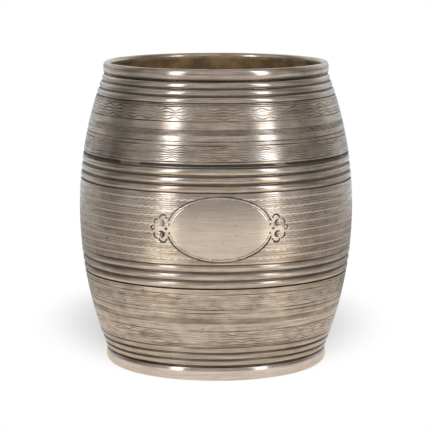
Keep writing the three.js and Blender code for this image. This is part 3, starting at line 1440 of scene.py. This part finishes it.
        # The lip's gilding is a darker copy of the lining's: painted shade on its upturned inner side
        shaded_rim_gilt = WornGilding(
            "shaded_rim_gilding", amber="#957c5d", brown="#6c5a47").material()
        WallLining(self.wall, self.wall_bottom, self.wall_top).build(wall_silver, gilt)
        self.build_band("upper_field", self.upper_hoops, self.neck_hoops, wall_silver)
        self.build_band("lower_field", self.base_hoops, self.lower_hoops, wall_silver)
        self.build_middle(wall_silver)
        for group in (self.base_hoops, self.lower_hoops):
            group.build(shaded_silver)
        for group in (self.upper_hoops, self.neck_hoops):
            group.build(wire_silver)
        Lip(self.wall, self.lip_bottom, self.lip_top, self.lip_rebate).build(wire_silver, shaded_rim_gilt)
        FootRing(self.wall, self.foot_height).build(foot_silver)
        base_low, base_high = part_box("base_plate")
        BasePlate(self.wall, base_low.z / MM, base_high.z / MM).build(wire_silver, gilt)


def direction(turn: float, rise: float = 0.0) -> Vector:
    """Give the unit vector at an angle round from the front and an angle up, in degrees."""
    across, up = math.radians(turn), math.radians(rise)
    return Vector((math.sin(across) * math.cos(up), -math.cos(across) * math.cos(up), math.sin(up)))


# Ways in the studio
FRONT = direction(0)
RIGHT = direction(90)
BACK = direction(180)
UP = direction(0, 90)
WHITE = "#ffffff"


def add_facing(data: bpy.types.ID, way: Vector, distance: float, middle: float) -> bpy.types.Object:
    """Make an object of a lamp or a camera that faces the beaker.

    Args:
        data: The lamp or the camera.
        way: Way from the beaker to it.
        distance: Distance from the place that it faces.
        middle: Height of that place.

    Returns:
        The object.
    """
    made = add_object(data)
    made.location = (way * distance + UP * middle) * MM
    made.rotation_euler = way.to_track_quat("Z", "Y").to_euler()
    return made


def add_seen(tree: Tree) -> Socket:
    """Add the share that is 1 where the camera sees a place, straight or through something clear.

    Args:
        tree: Node tree that gets the nodes.

    Returns:
        The share.
    """
    straight = add_node(tree, "LightPath", out="Is Camera Ray")
    through = straight.node.outputs["Is Transmission Ray"]
    return add_node(tree, "Math", (straight, through), operation="MAXIMUM")


def narrowness(degrees: float) -> float:
    """Give the share of a way that a ray still points along at an angle from it."""
    return math.cos(math.radians(degrees))


@dataclass(frozen=True)
class Zone:
    """A level of light that changes with the share of a way that a ray points along."""

    way: Vector
    start: float  # share where the change starts
    end: float  # share where it ends
    low: float  # level up to the start
    high: float  # level from the end on

    def add(self, tree: Tree, ray: Socket) -> Socket:
        """Add the level of a ray to a node tree.

        Args:
            tree: Node tree that gets the nodes.
            ray: Unit vector of the ray.

        Returns:
            The level.
        """
        share = add_node(tree, "VectorMath", (ray, self.way), "Value", operation="DOT_PRODUCT")
        levels = (share, self.start, self.end, self.low, self.high)
        return add_node(tree, "MapRange", levels, **SMOOTH)


@dataclass(frozen=True)
class Lamp:
    """A soft oblong lamp that faces the middle of the beaker."""

    name: str
    turn: float  # angle from the front, in degrees
    rise: float  # angle over the table, in degrees
    width: float
    height: float
    radiance: float  # brightness of its face, where 1 is white
    colour: str = WHITE
    mirrored: bool = True  # False if it only lights the table and the silver doesn't show it
    distance: float = 1180.0  # from the middle of the beaker

    def hang(self, middle: float) -> None:
        """Set up the lamp.

        Args:
            middle: Height of the place that it faces.
        """
        light = bpy.data.lights.new(self.name, "AREA")
        light.shape = "RECTANGLE"
        light.size = self.width * MM
        light.size_y = self.height * MM
        light.energy = math.pi * self.radiance * light.size * light.size_y
        light.color = hex_linear(self.colour)[:3]
        lamp = add_facing(light, direction(self.turn, self.rise), self.distance, middle)
        lamp.visible_camera = False
        lamp.visible_glossy = self.mirrored


LEFT_STRIP = Lamp(
    "left_strip", turn=-42.2, rise=18.5, width=270.0, height=980.0, radiance=2.5, colour="#eaf2ff")
WARM_SCREEN = Lamp(
    "warm_screen", turn=1.5, rise=17.0, width=940.0, height=540.0, radiance=0.16, colour="#ffe9dc")
LEFT_FILL = Lamp(
    "left_fill", turn=-24.0, rise=40.0, width=700.0, height=600.0, radiance=5.4, mirrored=False)


@dataclass
class Studio:
    """A white table before a white backdrop, a dim room, the lamps and the camera."""

    floor_radius: float = 300.0
    floor_sides: int = 96
    backdrop: str = "#edf3fb"  # the backdrop's cool light on the silver
    backdrop_turn: float = 176.0  # where its middle stands, in degrees
    paper: str = "#f2f1ef"
    mirrored_paper: str = "#fff9ef"  # the table's light in reflections
    shadow_behind: float = 54.0  # how far behind the axis the middle of the shadow lies
    shadow_stretch: float = 1.6  # how many times deeper than wide the shadow is
    shadow_reach: float = 28.0  # distance sideways within which the table shows its shadows
    white_reach: float = 52.0  # distance sideways beyond which it is plain white
    shadow_lift: float = 0.1  # share of plain white within the shadow
    near_reach: float = 45.0  # within it, reflections of the table are alike all round
    far_reach: float = 110.0  # beyond it, they differ by direction
    mirrored_share: float = 0.75  # share of plain white in reflections of the table
    mirrored_white: float = 0.70  # its brightness there, near the foot and in front
    mirrored_sides: float = 0.24  # its brightness there, far off at the sides and behind
    mirrored_strips: float = 0.72  # what the gloss of the strips on the table adds to it
    front_span: Span = (72.0, 48.0)  # angles from the front where the sides end, and the front starts
    strip_span: Span = (14.0, 5.0)  # angles from a strip where its gloss starts, and is full
    camera_distance: float = 540.0  # to the place that it looks at
    camera_pitch: float = 8.59  # how far it looks down, in degrees
    camera_turn: float = -1.57  # how far it stands round from the front, in degrees
    look_height: float = 37.43
    lens: float = 174.5
    clip_near: float = 10.0
    clip_far: float = 3000.0
    strips: Sequence[Lamp] = (LEFT_STRIP, replace(LEFT_STRIP, name="right_strip", turn=45.2))
    fills: Sequence[Lamp] = (LEFT_FILL, replace(LEFT_FILL, name="right_fill", turn=24.0))

    def build(self) -> None:
        """Set up table, light and camera."""
        self.lay_floor()
        self.light_world()
        for lamp in (*self.strips, WARM_SCREEN, *self.fills):
            lamp.hang(self.look_height)
        self.set_camera()

    def mirrored_level(self, tree: Tree, place: Socket) -> Socket:
        """Add the brightness of the table's white in reflections.

        Args:
            tree: Node tree that gets the nodes.
            place: Places on the table.

        Returns:
            The brightness.
        """
        outwards = add_node(tree, "VectorMath", (place,), operation="NORMALIZE")
        front_shares = map(narrowness, self.front_span)
        front = Zone(FRONT, *front_shares, self.mirrored_sides, self.mirrored_white)
        level = front.add(tree, outwards)
        for strip in self.strips:
            strip_shares = map(narrowness, self.strip_span)
            gloss = Zone(direction(strip.turn), *strip_shares, 0.0, self.mirrored_strips)
            level = add_node(tree, "Math", (level, gloss.add(tree, outwards)), operation="ADD")
        away = add_node(tree, "VectorMath", (place,), "Value", operation="LENGTH")
        reaches = (self.near_reach * MM, self.far_reach * MM)
        far = add_node(tree, "MapRange", (away, *reaches), **SMOOTH)
        return add_node(tree, "MapRange", {
            "Value": far, "To Min": self.mirrored_white, "To Max": level,
        })

    def white_card(self) -> Material:
        """Make the table's white card, whose shadows fade into plain white.

        Returns:
            The material.
        """
        made = blank_material("white_card")
        tree = made.node_tree
        mirrored = add_node(tree, "LightPath", out="Is Glossy Ray")
        place = add_node(tree, "TexCoord", out="Object")
        squeeze = 1 / self.shadow_stretch
        squeezed = add_node(tree, "Mapping", {
            "Vector": place, "Location": (0.0, -self.shadow_behind * squeeze * MM, 0.0),
            "Scale": (1.0, squeeze, 1.0),
        })
        away = add_node(tree, "VectorMath", (squeezed,), "Value", operation="LENGTH")
        reaches = (self.shadow_reach * MM, self.white_reach * MM)
        clear = add_node(tree, "MapRange", (away, *reaches, self.shadow_lift), **SMOOTH)
        shown = add_node(tree, "Math", (clear, add_seen(tree)), operation="MULTIPLY")
        share = add_node(
            tree, "Math", (mirrored, self.mirrored_share, shown), operation="MULTIPLY_ADD")
        strength = add_node(tree, "MapRange", {
            "Value": mirrored, "To Min": 1.0, "To Max": self.mirrored_level(tree, place),
        })
        tint = add_node(tree, "Mix", {
            MIX_SHARE: mirrored, MIX_FROM: hex_linear(WHITE),
            MIX_TO: hex_linear(self.mirrored_paper),
        }, **COLOUR_MIX)
        card = add_node(tree, "BsdfDiffuse", {"Color": hex_linear(self.paper)})
        glow = add_node(tree, "Emission", {"Color": tint, "Strength": strength})
        mixed = add_node(tree, "MixShader", (share, card, glow))
        add_node(tree, "OutputMaterial", {"Surface": mixed})
        return made

    def lay_floor(self) -> None:
        """Make the table's disc."""
        shape = bmesh.new()
        bmesh.ops.create_circle(
            shape, cap_ends=True, radius=self.floor_radius * MM, segments=self.floor_sides,
        )
        mesh = bpy.data.meshes.new("floor")
        shape.to_mesh(mesh)
        shape.free()
        mesh.materials.append(self.white_card())
        floor = add_object(mesh)

    def light_world(self) -> None:
        """Light the room: a pale backdrop behind, dim sides, a grey front and a pale table edge."""
        world = bpy.data.worlds.new("studio")
        bpy.context.scene.world = world
        world.use_nodes = True
        tree = world.node_tree
        tree.nodes.clear()
        ray = add_node(tree, "TexCoord", out="Generated")
        behind = direction(self.backdrop_turn)
        backdrop = Zone(behind, start=0.1, end=1.0, low=0.16, high=0.76)
        fall = Zone(UP, start=-0.05, end=0.22, low=0.88, high=1.24)
        room = add_node(
            tree, "Math", (backdrop.add(tree, ray), fall.add(tree, ray)), operation="MULTIPLY")
        grey_front = Zone(behind, start=0.0, end=-0.3, low=0.0, high=0.19)
        table_edge = Zone(UP, start=-0.02, end=-0.15, low=0.0, high=0.30)
        ceiling = Zone(UP, start=0.4, end=0.8, low=0.0, high=0.08)
        right_side = Zone(RIGHT, start=0.85, end=0.98, low=0.0, high=0.06)
        for zone in (grey_front, table_edge, ceiling, right_side):
            room = add_node(tree, "Math", (room, zone.add(tree, ray)), operation="ADD")
        seen = add_seen(tree)
        cool = Zone(BACK, start=0.2, end=0.9, low=0.0, high=1.0).add(tree, ray)
        tint = add_node(tree, "Mix", {
            MIX_SHARE: add_node(tree, "Math", (cool, seen), operation="SUBTRACT"),
            MIX_FROM: hex_linear(WHITE), MIX_TO: hex_linear(self.backdrop),
        }, **COLOUR_MIX)
        sky = add_node(tree, "Background", {
            "Color": tint,
            "Strength": add_node(tree, "Math", (room, seen), operation="MAXIMUM"),
        })
        add_node(tree, "OutputWorld", {"Surface": sky})

    def set_camera(self) -> None:
        """Put the camera where the photograph was taken from."""
        data = bpy.data.cameras.new("camera")
        data.lens = self.lens
        data.clip_start = self.clip_near * MM
        data.clip_end = self.clip_far * MM
        way = direction(self.camera_turn, self.camera_pitch)
        camera = add_facing(data, way, self.camera_distance, self.look_height)
        bpy.context.scene.camera = camera


def main() -> None:
    """Build the beaker and its studio."""
    logging.basicConfig(level=logging.INFO, format="%(name)s %(message)s")
    bpy.context.scene.view_settings.view_transform = "Standard"
    Studio().build()
    Beaker().build()


if __name__ == "__main__":
    main()
